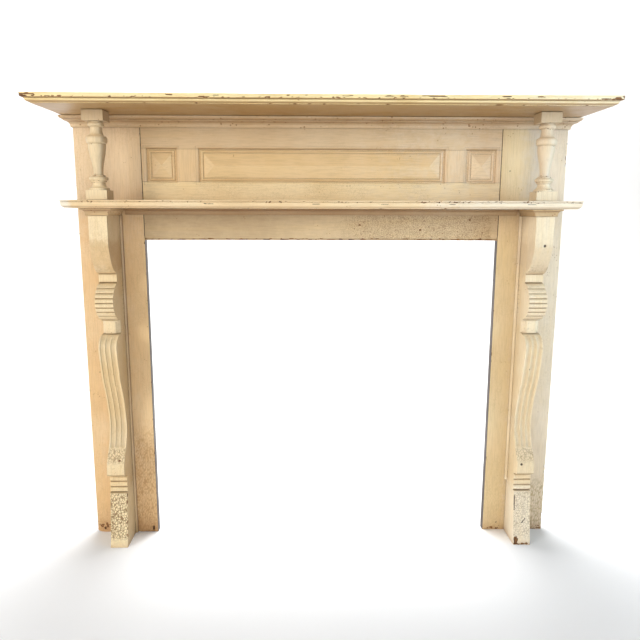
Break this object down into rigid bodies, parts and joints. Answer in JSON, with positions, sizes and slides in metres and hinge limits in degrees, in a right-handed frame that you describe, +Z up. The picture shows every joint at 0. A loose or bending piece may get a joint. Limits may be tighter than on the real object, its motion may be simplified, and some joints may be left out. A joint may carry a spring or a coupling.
{
  "type": "fireplace mantelpiece",
  "caption": "Painted wooden fireplace surround with a panelled frieze, console brackets, turned balusters, a narrow lower shelf and a wide moulded top shelf.",
  "frame": {"origin": "centre of the footprint at floor level, under the middle of the top shelf", "axes": "+Z up, -Y is the front, +Y faces the wall, +X to the viewer's right along the shelves"},
  "size_m": [1.47, 0.256, 1.267],
  "materials": {
    "shelf_paint": "old cream yellow oil paint on wood, chipped to brown along the edges",
    "board_paint": "aged cream paint on wood, worn satin, browned and crackled towards the floor",
    "frieze_paint": "aged cream paint on wood with dirt in the corners of the panels",
    "shade_paint": "aged cream paint on wood mouldings, dulled by smoke",
    "carved_paint": "aged cream paint on carved wood, heavily crackled at the feet"
  },
  "bodies": {
    "root": {"top_shelf": "shelf_paint", "cornice_front": "shade_paint", "cornice_return_left": "shade_paint", "cornice_return_right": "shade_paint", "pilaster_board_left": "board_paint", "pilaster_board_right": "board_paint", "frieze_top_rail": "frieze_paint", "frieze_bottom_rail": "frieze_paint", "frieze_mullion_left": "frieze_paint", "frieze_mullion_right": "frieze_paint", "frieze_stile_left": "frieze_paint", "frieze_stile_right": "frieze_paint", "panel_left": "frieze_paint", "panel_center": "frieze_paint", "panel_right": "frieze_paint", "lower_shelf": "shelf_paint", "shelf_bed_mould": "shade_paint", "bracket_left": "carved_paint", "bracket_right": "carved_paint", "bracket_cap_left": "carved_paint", "bracket_cap_right": "carved_paint", "baluster_left": "carved_paint", "baluster_right": "carved_paint", "corner_bead_left": "board_paint", "corner_bead_right": "board_paint"}
  },
  "joints": []
}
